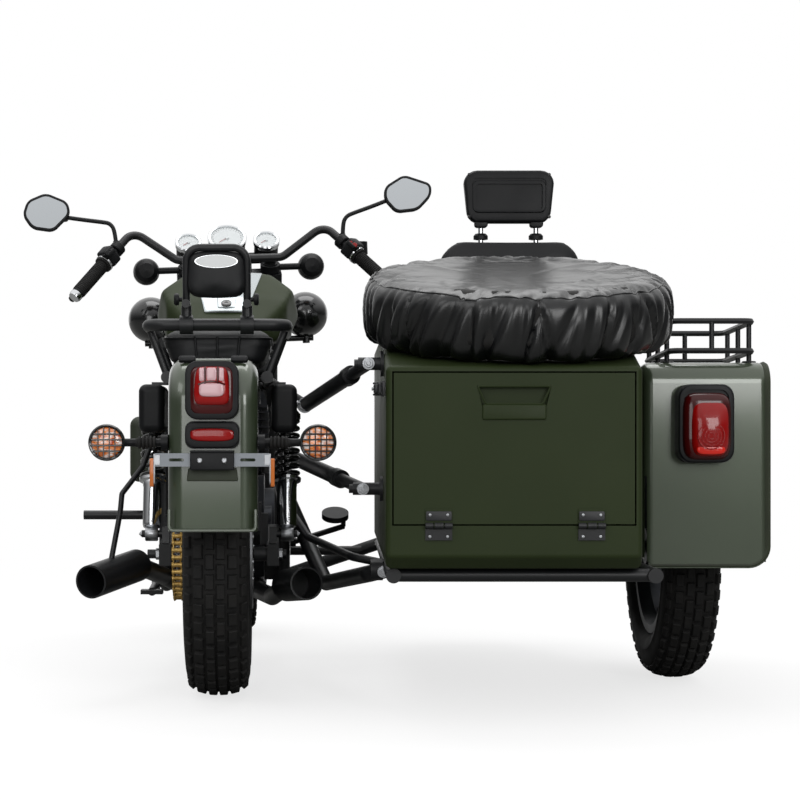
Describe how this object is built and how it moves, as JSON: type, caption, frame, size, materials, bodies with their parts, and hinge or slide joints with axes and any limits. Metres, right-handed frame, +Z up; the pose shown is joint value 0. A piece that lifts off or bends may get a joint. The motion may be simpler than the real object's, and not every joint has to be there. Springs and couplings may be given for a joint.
{
  "type": "sidecar motorcycle",
  "caption": "Motorcycle with a box-bodied sidecar on its right, a spare wheel on the rear deck, a drop-down tailgate and raked steering.",
  "frame": {"origin": "bottom centre of the whole outline, on the ground", "axes": "+Y forward, +X to the rider's right, +Z up"},
  "size_m": [1.737, 2.3288, 1.2592],
  "materials": {
    "green": "satin",
    "black_steel": "satin",
    "black_plastic": "matte",
    "tyre": "matte",
    "alloy": "satin",
    "steel": "brushed",
    "gold": "polished",
    "chrome": "polished",
    "seat_vinyl": "matte",
    "cover_cloth": "matte",
    "clear": "gloss"
  },
  "bodies": {
    "chassis": {"swingarm": "black_steel", "shock_absorbers": "chrome", "chain": "gold", "engine": "alloy", "engine_cylinders": "alloy", "exhausts": "black_steel", "bike_frame": "black_steel", "fuel_tank": "green", "bike_seats": "seat_vinyl", "rear_fender": "green", "tail_lamps": "black_plastic", "plate_bracket": "steel", "rear_signals": "black_plastic", "side_covers": "black_plastic", "filter_cover": "green", "grab_rail": "black_steel", "backrest_frame": "black_steel", "backrest_pad": "seat_vinyl", "foot_controls": "black_steel", "sidecar_frame": "black_steel", "sidecar_axle_arm": "black_steel", "sidecar_body": "green", "tailgate_hinges": "black_steel", "windscreen": "clear", "sidecar_seat": "seat_vinyl", "sidecar_backrest": "seat_vinyl", "headrest": "seat_vinyl", "spare_wheel": "tyre", "spare_cover": "cover_cloth", "sidecar_fender": "green", "sidecar_lamp": "black_plastic", "fender_rack": "black_steel", "sidecar_struts": "black_steel"},
    "steering": {"front_fork": "alloy", "handlebar": "black_steel", "hand_controls": "black_plastic", "mirrors": "black_plastic", "gauges": "black_plastic", "headlamp": "black_steel", "front_signals": "black_steel", "spot_lamps": "black_steel", "front_fender": "green"},
    "front_wheel": {"front_tyre": "tyre", "front_wheel": "alloy", "front_brake_disc": "steel"},
    "rear_wheel": {"rear_tyre": "tyre", "rear_wheel": "alloy", "rear_sprocket": "steel", "rear_brake_disc": "steel"},
    "sidecar_wheel": {"sidecar_tyre": "tyre", "sidecar_wheel": "alloy"},
    "tailgate": {"tailgate": "green"},
    "side_stand": {"side_stand": "black_steel"}
  },
  "joints": [
    {"name": "steering_turn", "type": "hinge", "parent": "chassis", "child": "steering", "pos_m": [-0.31197, 0.54821, 0.81423], "axis": [0, -0.454, 0.891], "range_deg": [-41, 31]},
    {"name": "front_wheel_spin", "type": "hinge", "parent": "steering", "child": "front_wheel", "pos_m": [-0.31589, 0.85665, 0.30762], "axis": [0.9962, 0.0777, 0.0396], "continuous": true},
    {"name": "rear_wheel_spin", "type": "hinge", "parent": "chassis", "child": "rear_wheel", "pos_m": [-0.31197, -0.59319, 0.3077], "axis": [1, 0, 0], "continuous": true},
    {"name": "sidecar_wheel_spin", "type": "hinge", "parent": "chassis", "child": "sidecar_wheel", "pos_m": [0.74303, -0.25019, 0.3077], "axis": [1, 0, 0], "continuous": true},
    {"name": "tailgate_drop", "type": "hinge", "parent": "chassis", "child": "tailgate", "pos_m": [0.27453, -1.12949, 0.3917], "axis": [1, 0, 0], "range_deg": [0, 95]},
    {"name": "side_stand_swing", "type": "hinge", "parent": "chassis", "child": "side_stand", "pos_m": [-0.48197, -0.03319, 0.2057], "axis": [1, 0, 0], "range_deg": [0, 100]}
  ]
}
